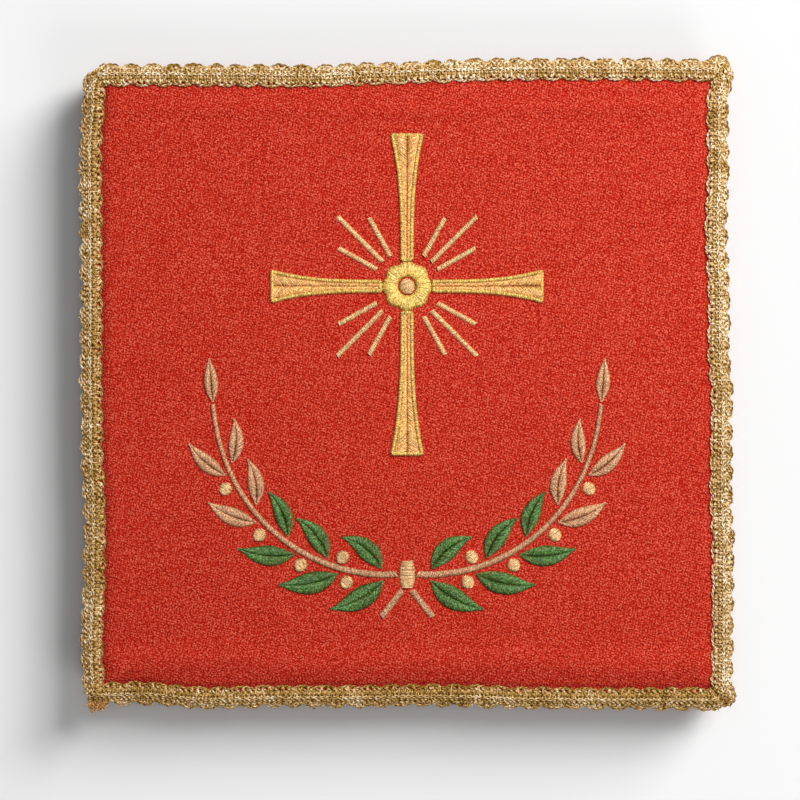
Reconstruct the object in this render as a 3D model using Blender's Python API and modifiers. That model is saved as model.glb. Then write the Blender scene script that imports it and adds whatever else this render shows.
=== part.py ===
"""A stiffened chalice pall: a square board covered in red crepe, edged with a scalloped gold braid
and embroidered with a flared cross in rays above an open wreath of olive branches.

Lengths are in metres and +Z is up. The pall lies face up on z = 0, with its middle at the origin and
the top of the embroidered design towards +Y.
"""

import math
from collections import namedtuple

import bmesh
import bpy
from mathutils import Vector

MM = 0.001

# The board in its cloth cover
BOARD_SIDE = 154.2 * MM
BOARD_THICKNESS = 3.5 * MM
BOARD_EDGE_ROUND = 1.1 * MM
BOARD_CELLS = 16
HALF_BOARD = BOARD_SIDE / 2

# The braid: its sewing line follows the board's edge, and its outer half stands past it
BRAID_HALF_WIDTH = 2.8 * MM
BRAID_THICKNESS = 1.1 * MM
BRAID_CORNER_RADIUS = 3.0 * MM
BRAID_DROOP = 0.9 * MM
SCALLOP_PITCH = 5.3 * MM
SCALLOP_STATIONS = 5
SCALLOP_SHIFT = 0.1
OUTER_NOTCH = 1.15 * MM
INNER_NOTCH = 0.6 * MM
BRAID_EDGE_SHARE = 0.5

# How far the braid bunches out past a round turn at each corner, anticlockwise from lower right
CORNER_FULLNESS = (1.7 * MM, 1.9 * MM, 0.4 * MM)

# Neighbouring pieces keep this distance
GAP = 0.3 * MM
FACE_Z = BOARD_THICKNESS + GAP

# The embroidered cross, its rosette and the rays between its arms
Arm = namedtuple("Arm", "name, turn, reach")
CROSS_CENTRE = Vector((0, 24 * MM, 0))
ARMS = (
    Arm("top", 90, 37 * MM),
    Arm("left", 180, 33 * MM),
    Arm("bottom", 270, 41 * MM),
    Arm("right", 0, 33 * MM),
)
ARM_WAIST = 1.6 * MM
ARM_FLARE = 2.5 * MM
ROSETTE_RADIUS = 6.2 * MM
ROSETTE_LOBES = 8
ROSETTE_LOBE_DEPTH = 0.7 * MM
ROSETTE_HEIGHT = 0.7 * MM
ROSETTE_EYE_RADIUS = 1.9 * MM
ROSETTE_HOLE_RADIUS = 2.3 * MM
RAY_START = 8.6 * MM
RAY_HALF_WIDTH = 0.6 * MM
Ray = namedtuple("Ray", "turn, reach")
RAYS = (Ray(29, 19 * MM), Ray(45, 24 * MM), Ray(61, 19 * MM))

# The two olive branches: a cubic Bezier for the right one, mirrored for the left one
BRANCH = (
    Vector((2.6 * MM, -46.5 * MM, 0)),
    Vector((22 * MM, -48 * MM, 0)),
    Vector((45 * MM, -34 * MM, 0)),
    Vector((47.5 * MM, -5 * MM, 0)),
)
STEM_HALF_WIDTH = 0.8 * MM
STEM_TIP_HALF_WIDTH = 0.5 * MM
Leaf = namedtuple("Leaf", "along, lean, length, half_width, green")
LEAVES = (
    Leaf(0.06, 52, 12.5 * MM, 2.5 * MM, True),
    Leaf(0.05, -39, 15.0 * MM, 2.7 * MM, True),
    Leaf(0.29, 43, 12.5 * MM, 2.4 * MM, True),
    Leaf(0.23, -36, 15.0 * MM, 2.7 * MM, True),
    Leaf(0.47, 41, 12.0 * MM, 2.2 * MM, True),
    Leaf(0.41, -35, 14.0 * MM, 2.5 * MM, True),
    Leaf(0.64, 38, 11.5 * MM, 2.0 * MM, False),
    Leaf(0.59, -34, 13.0 * MM, 2.2 * MM, False),
    Leaf(0.81, 34, 11.0 * MM, 1.8 * MM, False),
    Leaf(0.78, -33, 12.0 * MM, 2.0 * MM, False),
    Leaf(1.0, 0, 11.0 * MM, 1.7 * MM, False),
)
Berry = namedtuple("Berry", "along, away")
BERRIES = (
    Berry(0.195, -2.9 * MM),
    Berry(0.235, 2.8 * MM),
    Berry(0.375, -2.9 * MM),
    Berry(0.555, -2.9 * MM),
    Berry(0.745, -2.8 * MM),
)
BERRY_RADIUS = 1.6 * MM
BERRY_HEIGHT = 1.0 * MM
TIE_HALF_HEIGHT = 3.2 * MM
TIE_HALF_WIDTH = 2.0 * MM
STEM_END_LENGTH = 8 * MM
STEM_END_TURN = -52

# How far each side strays outward from the true square, at places along it from its middle
Stray = namedtuple("Stray", "along_mm, outward_mm")
TOP_STRAY = (
    Stray(-77, -1.4),
    Stray(-50, -1.5),
    Stray(-24, -1.7),
    Stray(-6, -1.05),
    Stray(8, -0.5),
    Stray(23, -0.1),
    Stray(41, 0.0),
    Stray(77, -0.2),
)
BOTTOM_STRAY = (
    Stray(-77, -1.3),
    Stray(-66, -1.6),
    Stray(-49, -0.3),
    Stray(-31, -0.7),
    Stray(-14, -0.7),
    Stray(2, -1.0),
    Stray(12, -1.0),
    Stray(31, -0.3),
    Stray(48, -0.15),
    Stray(77, -0.15),
)
LEFT_STRAY = (
    Stray(-77, -0.5),
    Stray(-64, 0.05),
    Stray(-49, -0.5),
    Stray(-31, -0.65),
    Stray(-14, 0.05),
    Stray(3, 0.25),
    Stray(23, 0.2),
    Stray(41, 0.25),
    Stray(58, 0.4),
    Stray(70, -0.4),
    Stray(77, -0.6),
)
RIGHT_STRAY = (
    Stray(-77, -0.05),
    Stray(-64, 0.05),
    Stray(-41, 0.15),
    Stray(-25, -0.35),
    Stray(-4, -0.05),
    Stray(9, -0.85),
    Stray(21, -0.75),
    Stray(38, -1.5),
    Stray(53, -0.95),
    Stray(68, -1.15),
    Stray(77, 0.05),
)


def clear_scene():
    for obj in list(bpy.data.objects):
        bpy.data.objects.remove(obj, do_unlink=True)


def make_collection(name, hidden=False):
    collection = bpy.data.collections.new(name)
    collection.hide_render = hidden
    bpy.context.scene.collection.children.link(collection)
    return collection


def make_material(name, colour, roughness, metallic=0.0):
    material = bpy.data.materials.new(name)
    material.use_nodes = True
    shader = material.node_tree.nodes["Principled BSDF"]
    shader.inputs["Base Color"].default_value = (*colour, 1)
    shader.inputs["Roughness"].default_value = roughness
    shader.inputs["Metallic"].default_value = metallic
    return material


def add_object(name, data, collection, material=None):
    obj = bpy.data.objects.new(name, data)
    collection.objects.link(obj)
    if material:
        data.materials.append(material)
    return obj


def stray_at(rows, along):
    """The outward stray of one side, eased between its table's rows."""
    along_mm = along / MM
    if along_mm <= rows[0].along_mm:
        return rows[0].outward_mm * MM
    for low, high in zip(rows, rows[1:]):
        if along_mm <= high.along_mm:
            share = (along_mm - low.along_mm) / (high.along_mm - low.along_mm)
            eased = (1 - math.cos(math.pi * share)) / 2
            return (low.outward_mm + (high.outward_mm - low.outward_mm) * eased) * MM
    return rows[-1].outward_mm * MM


def strayed(x, y):
    """Moves a point of the true square to where the uneven pall has it; the middle hardly moves."""
    across = stray_at(RIGHT_STRAY if x > 0 else LEFT_STRAY, y)
    along = stray_at(TOP_STRAY if y > 0 else BOTTOM_STRAY, x)
    x_share = (x / HALF_BOARD) ** 3
    y_share = (y / HALF_BOARD) ** 3
    return x + across * x_share, y + along * y_share


def build_panel(collection, material):
    """The cloth-covered board: a flat slab with the pall's uneven outline and soft edges."""
    mesh = bpy.data.meshes.new("cloth_panel")
    grid = bmesh.new()
    bmesh.ops.create_grid(grid, x_segments=BOARD_CELLS, y_segments=BOARD_CELLS, size=HALF_BOARD)
    for vertex in grid.verts:
        vertex.co.x, vertex.co.y = strayed(vertex.co.x, vertex.co.y)
    grid.to_mesh(mesh)
    grid.free()
    panel = add_object("cloth_panel", mesh, collection, material)

    slab = panel.modifiers.new("Board thickness", "SOLIDIFY")
    slab.thickness = BOARD_THICKNESS
    slab.offset = 1
    soften = panel.modifiers.new("Soft edges", "BEVEL")
    soften.width = BOARD_EDGE_ROUND
    soften.segments = 3
    soften.limit_method = "ANGLE"
    soften.angle_limit = math.radians(60)
    return panel


def braid_walk():
    """The sewing line's stretches as (length, turn), anticlockwise from the cut start at lower left."""
    straight = BOARD_SIDE - 2 * BRAID_CORNER_RADIUS
    corner = (BRAID_CORNER_RADIUS * math.pi / 2, math.pi / 2)
    first = straight + BRAID_CORNER_RADIUS + BRAID_HALF_WIDTH
    last = straight + BRAID_CORNER_RADIUS - BRAID_HALF_WIDTH - GAP
    return ((first, 0), corner, (straight, 0), corner, (straight, 0), corner, (last, 0))


def place_on_walk(walk, distance):
    """The point that far along the sewing line, the direction out of the pall, and the extra fullness."""
    x = -(HALF_BOARD + BRAID_HALF_WIDTH)
    y = -HALF_BOARD
    heading = 0.0
    fullness = 0.0
    corners = iter(CORNER_FULLNESS)
    for length, turn in walk:
        step = min(distance, length)
        if turn:
            radius = length / turn
            turned = heading + step / radius
            x += radius * (math.sin(turned) - math.sin(heading))
            y -= radius * (math.cos(turned) - math.cos(heading))
            heading = turned
            fullness = next(corners) * math.sin(math.pi * step / length)
        else:
            x += math.cos(heading) * step
            y += math.sin(heading) * step
            fullness = 0.0
        distance -= step
        if distance <= 0:
            break
    return x, y, heading - math.pi / 2, fullness


def braid_section(column, phase):
    """(how far out of the sewing line, how much lower) one of the braid's columns lies, -1 to 1 across.

    The scallops of the two edges take turns: the outer edge is at its tip where the inner one is notched.
    """
    outer = BRAID_HALF_WIDTH - OUTER_NOTCH * (1 - abs(math.cos(math.pi * phase)) ** 0.8)
    inner = BRAID_HALF_WIDTH - INNER_NOTCH * (1 - abs(math.sin(math.pi * phase)))
    outward = column * (outer if column > 0 else inner)
    droop = BRAID_DROOP * max(0.0, outward / BRAID_HALF_WIDTH) ** 1.5
    return outward, droop


def build_braid(collection, material):
    """One length of braid round the pall, cut and butted at the lower left corner."""
    walk = braid_walk()
    whole = sum(length for length, _ in walk)
    scallops = round(whole / SCALLOP_PITCH)
    mesh = bpy.data.meshes.new("gold_braid")
    strip = bmesh.new()
    bmesh.ops.create_grid(strip, x_segments=scallops * SCALLOP_STATIONS, y_segments=3, size=1)
    thick_columns = [vertex.index for vertex in strip.verts if abs(vertex.co.y) < 0.5]
    for vertex in strip.verts:
        share = (vertex.co.x + 1) / 2
        thickness = BRAID_THICKNESS * (1 if abs(vertex.co.y) < 0.5 else BRAID_EDGE_SHARE)
        outward, droop = braid_section(-vertex.co.y, share * scallops + SCALLOP_SHIFT)
        x, y, facing, fullness = place_on_walk(walk, share * whole)
        x, y = strayed(x, y)
        if outward > 0:
            outward += fullness * outward / BRAID_HALF_WIDTH
        vertex.co = (
            x + outward * math.cos(facing),
            y + outward * math.sin(facing),
            FACE_Z + thickness - droop,
        )
    strip.to_mesh(mesh)
    strip.free()
    braid = add_object("gold_braid", mesh, collection, material)
    middle = braid.vertex_groups.new(name="Thick middle")
    middle.add(thick_columns, 1, "REPLACE")
    thicken = braid.modifiers.new("Braid thickness", "SOLIDIFY")
    thicken.thickness = BRAID_THICKNESS
    thicken.offset = -1
    thicken.vertex_group = middle.name
    thicken.thickness_vertex_group = BRAID_EDGE_SHARE
    return braid


def satin_profile(name, flatness, collection):
    """The half-round section of a band of satin stitch, one unit wide each side, as a bevel curve."""
    curve = bpy.data.curves.new(name, "CURVE")
    curve.dimensions = "2D"
    curve.fill_mode = "NONE"
    spline = curve.splines.new("POLY")
    arch = [math.radians(angle) for angle in (180, 144, 108, 72, 36, 0)]
    spline.points.add(len(arch) - 1)
    for point, angle in zip(spline.points, arch):
        point.co = (math.cos(angle), math.sin(angle) * flatness, 0, 1)
    spline.use_cyclic_u = True
    guide = add_object(name, curve, collection)
    guide.hide_render = True
    guide.display_type = "WIRE"
    return guide


def build_band(name, points, half_widths, profile, collection, material):
    """A raised band of satin stitch along a line of points on the cloth, with its own width at each."""
    curve = bpy.data.curves.new(name, "CURVE")
    curve.dimensions = "3D"
    curve.twist_mode = "Z_UP"
    curve.bevel_mode = "OBJECT"
    curve.bevel_object = profile
    curve.use_fill_caps = True
    spline = curve.splines.new("POLY")
    spline.points.add(len(points) - 1)
    for knot, point, half_width in zip(spline.points, points, half_widths):
        knot.co = (point.x, point.y, FACE_Z, 1)
        knot.radius = half_width
    return add_object(name, curve, collection, material)


def build_dome(name, centre, radius, height, collection, material):
    """A round padded spot of satin stitch: the upper half of a squashed sphere."""
    mesh = bpy.data.meshes.new(name)
    dome = bmesh.new()
    bmesh.ops.create_uvsphere(dome, u_segments=12, v_segments=6, radius=1)
    whole = [*dome.verts, *dome.edges, *dome.faces]
    bmesh.ops.bisect_plane(dome, geom=whole, plane_co=(0, 0, 0), plane_no=(0, 0, 1), clear_inner=True)
    bmesh.ops.holes_fill(dome, edges=[edge for edge in dome.edges if edge.is_boundary])
    bmesh.ops.recalc_face_normals(dome, faces=dome.faces)
    bmesh.ops.scale(dome, vec=(radius, radius, height), verts=dome.verts)
    dome.to_mesh(mesh)
    dome.free()
    obj = add_object(name, mesh, collection, material)
    obj.location = (centre.x, centre.y, FACE_Z)
    return obj


def direction(degrees):
    return Vector((math.cos(math.radians(degrees)), math.sin(math.radians(degrees)), 0))


def build_cross(profiles, collection, gold, pale_gold):
    """Four flared arms about a lobed rosette, with three rays in each quarter."""
    stations = 7
    for arm in ARMS:
        start = ROSETTE_RADIUS + GAP
        shares = [i / (stations - 1) for i in range(stations)]
        points = [CROSS_CENTRE + direction(arm.turn) * (start + (arm.reach - start) * s) for s in shares]
        half_widths = [ARM_WAIST + ARM_FLARE * s**3 for s in shares]
        build_band(f"cross_arm_{arm.name}", points, half_widths, profiles["flat"], collection, gold)

    number = 0
    for quarter in range(4):
        for ray in RAYS:
            number += 1
            along = direction(quarter * 90 + ray.turn)
            points = [CROSS_CENTRE + along * RAY_START, CROSS_CENTRE + along * ray.reach]
            half_widths = [RAY_HALF_WIDTH] * 2
            name = f"cross_ray_{number:02d}"
            build_band(name, points, half_widths, profiles["round"], collection, pale_gold)

    build_rosette(collection, gold)
    build_dome("rosette_eye", CROSS_CENTRE, ROSETTE_EYE_RADIUS, BERRY_HEIGHT, collection, pale_gold)


def build_rosette(collection, material):
    """The lobed ring at the crossing: a flat outline with a round hole for the eye."""
    curve = bpy.data.curves.new("cross_rosette", "CURVE")
    curve.dimensions = "2D"
    curve.fill_mode = "BOTH"
    curve.extrude = ROSETTE_HEIGHT / 2
    for steps, hole in ((ROSETTE_LOBES * 5, False), (16, True)):
        spline = curve.splines.new("POLY")
        spline.points.add(steps - 1)
        for i, point in enumerate(spline.points):
            angle = 2 * math.pi * i / steps
            lobed = ROSETTE_RADIUS - ROSETTE_LOBE_DEPTH * (1 - abs(math.cos(ROSETTE_LOBES * angle / 2)))
            radius = ROSETTE_HOLE_RADIUS if hole else lobed
            point.co = (radius * math.cos(angle), radius * math.sin(angle), 0, 1)
        spline.use_cyclic_u = True
    obj = add_object("cross_rosette", curve, collection, material)
    obj.location = CROSS_CENTRE + Vector((0, 0, FACE_Z + ROSETTE_HEIGHT / 2))
    return obj


def branch_point(share, side):
    """A point on the right (side 1) or left (side -1) branch, and the branch's heading there."""
    a, b, c, d = BRANCH
    rest = 1 - share
    point = a * rest**3 + b * 3 * rest**2 * share + c * 3 * rest * share**2 + d * share**3
    slope = (b - a) * rest**2 + (c - b) * 2 * rest * share + (d - c) * share**2
    mirror = Vector((side, 1, 1))
    return point * mirror, (slope * mirror).normalized()


def build_leaf(name, leaf, side, profile, collection, material):
    """A slim pointed leaf that leaves its branch at a slant and bends back a little."""
    foot, heading = branch_point(leaf.along, side)
    slant = math.radians(leaf.lean) * side
    stations = 8
    clear = STEM_HALF_WIDTH + GAP
    across = Vector((-heading.y, heading.x, 0)) * side
    start = foot + across * math.copysign(clear, leaf.lean) if leaf.lean else foot + heading * GAP
    points = []
    half_widths = []
    for i in range(stations):
        share = i / (stations - 1)
        bend = slant * (1.25 - 0.5 * share)
        turned = Vector(
            (
                heading.x * math.cos(bend) - heading.y * math.sin(bend),
                heading.x * math.sin(bend) + heading.y * math.cos(bend),
                0,
            )
        )
        points.append(start + turned * (leaf.length * (0.04 + 0.96 * share)))
        half_widths.append(leaf.half_width * max(0.1, math.sin(math.pi * share**0.85)))
    build_band(name, points, half_widths, profile, collection, material)


def build_wreath(profiles, collection, green, beige, pale_gold):
    """Two olive branches that rise from a tie under the cross."""
    stations = 22
    for side, word in ((1, "right"), (-1, "left")):
        shares = [i / (stations - 1) for i in range(stations)]
        points = [branch_point(s, side)[0] for s in shares]
        taper = STEM_TIP_HALF_WIDTH - STEM_HALF_WIDTH
        half_widths = [STEM_HALF_WIDTH + taper * s for s in shares]
        build_band(f"stem_{word}", points, half_widths, profiles["round"], collection, beige)

        end_start = Vector((TIE_HALF_WIDTH * 0.6 * side, BRANCH[0].y - TIE_HALF_HEIGHT - STEM_HALF_WIDTH, 0))
        end_heading = direction(STEM_END_TURN) * Vector((side, 1, 1))
        points = [end_start, end_start + end_heading * STEM_END_LENGTH]
        half_widths = [STEM_HALF_WIDTH] * 2
        build_band(f"stem_end_{word}", points, half_widths, profiles["round"], collection, beige)

        for number, leaf in enumerate(LEAVES, 1):
            name = f"leaf_{word}_{number}"
            build_leaf(name, leaf, side, profiles["flat"], collection, green if leaf.green else beige)

        for number, berry in enumerate(BERRIES, 1):
            foot, heading = branch_point(berry.along, side)
            centre = foot + Vector((-heading.y, heading.x, 0)) * side * berry.away
            name = f"berry_{word}_{number}"
            build_dome(name, centre, BERRY_RADIUS, BERRY_HEIGHT, collection, pale_gold)

    middle = Vector((0, BRANCH[0].y, 0))
    points = [middle + Vector((0, TIE_HALF_HEIGHT * step, 0)) for step in (-1, -0.5, 0, 0.5, 1)]
    half_widths = [TIE_HALF_WIDTH * share for share in (0.7, 0.95, 1, 0.95, 0.7)]
    build_band("wreath_tie", points, half_widths, profiles["flat"], collection, pale_gold)


def main():
    clear_scene()
    pall = make_collection("chalice_pall")
    guides = make_collection("guides", hidden=True)
    red = make_material("red_crepe", (0.56, 0.045, 0.022), 0.85)
    braid_gold = make_material("braid_gold", (0.44, 0.28, 0.10), 0.45, 0.6)
    gold = make_material("yellow_gold_thread", (0.74, 0.52, 0.11), 0.4)
    pale_gold = make_material("pale_gold_thread", (0.78, 0.53, 0.24), 0.4)
    beige = make_material("beige_thread", (0.55, 0.33, 0.18), 0.45)
    green = make_material("green_thread", (0.035, 0.16, 0.06), 0.5)
    profiles = {
        "round": satin_profile("satin_round", 0.9, guides),
        "flat": satin_profile("satin_flat", 0.28, guides),
    }
    build_panel(pall, red)
    build_braid(pall, braid_gold)
    build_cross(profiles, pall, gold, pale_gold)
    build_wreath(profiles, pall, green, beige, pale_gold)


main()
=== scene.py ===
"""The chalice pall's looks: crepe cover, metallic scalloped braid and satin-stitched embroidery.

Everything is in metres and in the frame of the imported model: +X to the right of the design, +Y to its
top, +Z up out of the face, and z = 0 is the surface that the pall lies on.
"""

import math
from collections import namedtuple

import bpy
import numpy as np
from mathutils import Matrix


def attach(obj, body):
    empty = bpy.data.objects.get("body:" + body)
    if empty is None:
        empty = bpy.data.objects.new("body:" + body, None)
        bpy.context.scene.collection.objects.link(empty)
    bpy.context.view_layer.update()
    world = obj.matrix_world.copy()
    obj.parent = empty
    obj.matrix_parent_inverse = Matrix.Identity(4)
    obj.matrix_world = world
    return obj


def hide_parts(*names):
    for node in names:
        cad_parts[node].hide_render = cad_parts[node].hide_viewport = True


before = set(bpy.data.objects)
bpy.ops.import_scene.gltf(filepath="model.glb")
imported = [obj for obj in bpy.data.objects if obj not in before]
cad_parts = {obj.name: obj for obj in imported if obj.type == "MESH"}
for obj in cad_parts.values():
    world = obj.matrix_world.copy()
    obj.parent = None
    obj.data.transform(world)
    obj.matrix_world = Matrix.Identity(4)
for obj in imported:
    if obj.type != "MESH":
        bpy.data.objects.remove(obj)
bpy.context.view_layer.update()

MM = 0.001
rng = np.random.default_rng(1907)

# Sizes shared with the solids
BOARD_SIDE = 154.2 * MM
HALF_BOARD = BOARD_SIDE / 2
BOARD_THICKNESS = 3.5 * MM
BOARD_EDGE_ROUND = 1.1 * MM
BRAID_HALF_WIDTH = 2.8 * MM
BRAID_CORNER_RADIUS = 3.0 * MM
SCALLOP_PITCH = 5.3 * MM
OUTER_NOTCH = 1.15 * MM
INNER_NOTCH = 0.6 * MM
GAP = 0.3 * MM
CORNER_FULLNESS = (1.7 * MM, 1.9 * MM, 0.4 * MM)

Arm = namedtuple("Arm", "name, turn, reach")
CROSS_CENTRE = np.array([0, 24 * MM])
ARMS = (
    Arm("top", 90, 37 * MM),
    Arm("left", 180, 33 * MM),
    Arm("bottom", 270, 41 * MM),
    Arm("right", 0, 33 * MM),
)
ARM_WAIST = 1.6 * MM
ARM_FLARE = 2.5 * MM
ROSETTE_RADIUS = 6.2 * MM
ROSETTE_LOBES = 8
ROSETTE_LOBE_DEPTH = 0.7 * MM
ROSETTE_EYE_RADIUS = 1.9 * MM
ROSETTE_HOLE_RADIUS = 2.3 * MM
RAY_START = 8.6 * MM
RAY_HALF_WIDTH = 0.6 * MM
Ray = namedtuple("Ray", "turn, reach")
RAYS = (Ray(29, 19 * MM), Ray(45, 24 * MM), Ray(61, 19 * MM))

BRANCH = np.array([[2.6, -46.5], [22, -48], [45, -34], [47.5, -5]]) * MM
STEM_HALF_WIDTH = 0.8 * MM
STEM_TIP_HALF_WIDTH = 0.5 * MM
Leaf = namedtuple("Leaf", "along, lean, length, half_width, green")
LEAVES = (
    Leaf(0.06, 52, 12.5 * MM, 2.5 * MM, True),
    Leaf(0.05, -39, 15.0 * MM, 2.7 * MM, True),
    Leaf(0.29, 43, 12.5 * MM, 2.4 * MM, True),
    Leaf(0.23, -36, 15.0 * MM, 2.7 * MM, True),
    Leaf(0.47, 41, 12.0 * MM, 2.2 * MM, True),
    Leaf(0.41, -35, 14.0 * MM, 2.5 * MM, True),
    Leaf(0.64, 38, 11.5 * MM, 2.0 * MM, False),
    Leaf(0.59, -34, 13.0 * MM, 2.2 * MM, False),
    Leaf(0.81, 34, 11.0 * MM, 1.8 * MM, False),
    Leaf(0.78, -33, 12.0 * MM, 2.0 * MM, False),
    Leaf(1.0, 0, 11.0 * MM, 1.7 * MM, False),
)
Berry = namedtuple("Berry", "along, away")
BERRIES = (
    Berry(0.195, -2.9 * MM),
    Berry(0.235, 2.8 * MM),
    Berry(0.375, -2.9 * MM),
    Berry(0.555, -2.9 * MM),
    Berry(0.745, -2.8 * MM),
)
BERRY_RADIUS = 1.6 * MM
TIE_HALF_HEIGHT = 3.2 * MM
TIE_HALF_WIDTH = 2.0 * MM
STEM_END_LENGTH = 8 * MM
STEM_END_TURN = -52

# How far each side strays outward from the true square: (mm along it from its middle, mm outward)
TOP_STRAY = (
    (-77, -1.4), (-50, -1.5), (-24, -1.7), (-6, -1.05), (8, -0.5), (23, -0.1), (41, 0.0), (77, -0.2),
)
BOTTOM_STRAY = (
    (-77, -1.3), (-66, -1.6), (-49, -0.3), (-31, -0.7), (-14, -0.7), (2, -1.0), (12, -1.0), (31, -0.3),
    (48, -0.15), (77, -0.15),
)
LEFT_STRAY = (
    (-77, -0.5), (-64, 0.05), (-49, -0.5), (-31, -0.65), (-14, 0.05), (3, 0.25), (23, 0.2), (41, 0.25),
    (58, 0.4), (70, -0.4), (77, -0.6),
)
RIGHT_STRAY = (
    (-77, -0.05), (-64, 0.05), (-41, 0.15), (-25, -0.35), (-4, -0.05), (9, -0.85), (21, -0.75),
    (38, -1.5), (53, -0.95), (68, -1.15), (77, 0.05),
)

UP = np.array([0.0, 0.0, 1.0])

# Threads
Thread = namedtuple("Thread", "half_wide, half_high, sides")
SATIN_THREAD = Thread(0.15 * MM, 0.13 * MM, 4)
WEFT_THREAD = Thread(0.27 * MM, 0.2 * MM, 5)
CORD_THREAD = Thread(0.19 * MM, 0.17 * MM, 5)
PICOT_THREAD = Thread(0.22 * MM, 0.19 * MM, 5)
CHAIN_THREAD = Thread(0.19 * MM, 0.15 * MM, 4)
KNOT_THREAD = Thread(0.27 * MM, 0.2 * MM, 5)
FUZZ_THREAD = Thread(0.08 * MM, 0.08 * MM, 3)
FRAY_THREAD = Thread(0.11 * MM, 0.1 * MM, 4)

# The embroidery's stitches, and how high those of each form arch
STITCH_PITCH = 0.3 * MM
STITCH_STATIONS = 7
STITCH_JITTER = 0.03 * MM
STITCH_SPREAD = 0.16
STITCH_SINK = 0.06 * MM
STITCH_FULLNESS = 0.55
ARM_INSET = 0.75 * MM
ARM_LEAST_HALF_WIDTH = 0.5 * MM
EDGE_HALF_WIDTH = 0.45 * MM
EDGE_PITCH = 0.27 * MM
ROSETTE_STITCHES = 140
ARM_ARCH = 0.75 * MM
EDGE_ARCH = 0.8 * MM
RAY_ARCH = 0.55 * MM
EYE_ARCH = 0.95 * MM
STEM_ARCH = 0.6 * MM
LEAF_ARCH = 0.75 * MM
BERRY_ARCH = 0.9 * MM
TIE_ARCH = 0.85 * MM

# The braid's threads
WEFT_PITCH = 0.8 * MM
WEFT_INSET = 0.2 * MM
CHAIN_PITCH = 1.5 * MM
CHAIN_LINE = 0.22 * MM
CHAIN_HALF_WIDTH = 0.29 * MM
CORD_TWIST = 2.4 * MM
CORD_RADIUS = 0.22 * MM
PICOT_PITCH = 1.4 * MM
Strand = namedtuple("Strand", "sink, lift")
PICOT_STRANDS = (Strand(0.2 * MM, 0.72 * MM), Strand(0.6 * MM, 0.86 * MM))
PICOT_REACH = 0.33 * MM
PICOT_SWAY = 0.36 * MM
# Rows where the weft sinks; it is also painted darker there, as painted shade
DarkRow = namedtuple("DarkRow", "outward, depth")
DARK_ROWS = (DarkRow(-0.85 * MM, 0.9), DarkRow(1.1 * MM, 0.4))
DARK_ROW_WIDTH = 0.36 * MM
GROUND_ACROSS = (-0.55, -0.3, 0.45, 0.88)
GROUND_THICKNESS = 0.4 * MM
KnotRow = namedtuple("KnotRow", "outward, pitch, length, lean, gain")
KNOT_ROWS = (
    KnotRow(-1.75 * MM, 1.4 * MM, 0.7 * MM, 0.6, 1.0),
    KnotRow(-0.75 * MM, 1.15 * MM, 0.65 * MM, -0.5, 0.74),
    KnotRow(0.95 * MM, 1.2 * MM, 0.65 * MM, 0.6, 1.0),
    KnotRow(1.55 * MM, 1.3 * MM, 0.7 * MM, -0.7, 1.15),
)
SHORT_LOOP = 0.4 * MM
FUZZ_PITCH = 0.24 * MM
FRAY_COUNT = 90
FRAY_ROOT = np.array([-75.9, -78.2]) * MM
FRAY_SPREAD = np.array([1.9, 0.8]) * MM

# Turned edges that show through the cloth
Hem = namedtuple("Hem", "place, height, half_width")
HEMS = (Hem(67.3 * MM, 0.4 * MM, 2.0 * MM), Hem(-68.2 * MM, 0.85 * MM, 3.6 * MM))


# The uneven outline, as in the solids
def stray_at(rows, along):
    table = np.array(rows)
    along_mm = np.clip(along / MM, table[0, 0], table[-1, 0])
    place = np.clip(np.searchsorted(table[:, 0], along_mm) - 1, 0, len(table) - 2)
    low = table[place]
    high = table[place + 1]
    share = (along_mm - low[..., 0]) / (high[..., 0] - low[..., 0])
    eased = (1 - np.cos(np.pi * share)) / 2
    return (low[..., 1] + (high[..., 1] - low[..., 1]) * eased) * MM


def strayed(x, y):
    """Points of the true square, moved with its edges."""
    across = np.where(x > 0, stray_at(RIGHT_STRAY, y), stray_at(LEFT_STRAY, y))
    along = np.where(y > 0, stray_at(TOP_STRAY, x), stray_at(BOTTOM_STRAY, x))
    return x + across * (x / HALF_BOARD) ** 3, y + along * (y / HALF_BOARD) ** 3


def braid_walk():
    """The sewing line's runs and corners, as lengths and turns."""
    straight = BOARD_SIDE - 2 * BRAID_CORNER_RADIUS
    corner = (BRAID_CORNER_RADIUS * math.pi / 2, math.pi / 2)
    first = straight + BRAID_CORNER_RADIUS + BRAID_HALF_WIDTH
    last = straight + BRAID_CORNER_RADIUS - BRAID_HALF_WIDTH - GAP
    return ((first, 0), corner, (straight, 0), corner, (straight, 0), corner, (last, 0))


WALK = braid_walk()
BRAID_LENGTH = sum(length for length, _ in WALK)
BRAID_START = 1.4 * MM
BRAID_END = BRAID_LENGTH + 3.2 * MM
SCALLOPS = round(BRAID_LENGTH / SCALLOP_PITCH)
WALK_ENDS = np.cumsum([length for length, _ in WALK])
LAP_RISE = 0.5 * MM
# How far the braid's outer edge hangs, 0.4 mm more than on the solids, and how far its inner edge sinks
BRAID_DROOP = 1.3 * MM
INNER_SINK = 0.42 * MM
CREASE_DEPTH = 0.3 * MM
CREASE_WIDTH = 0.45 * MM
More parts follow.
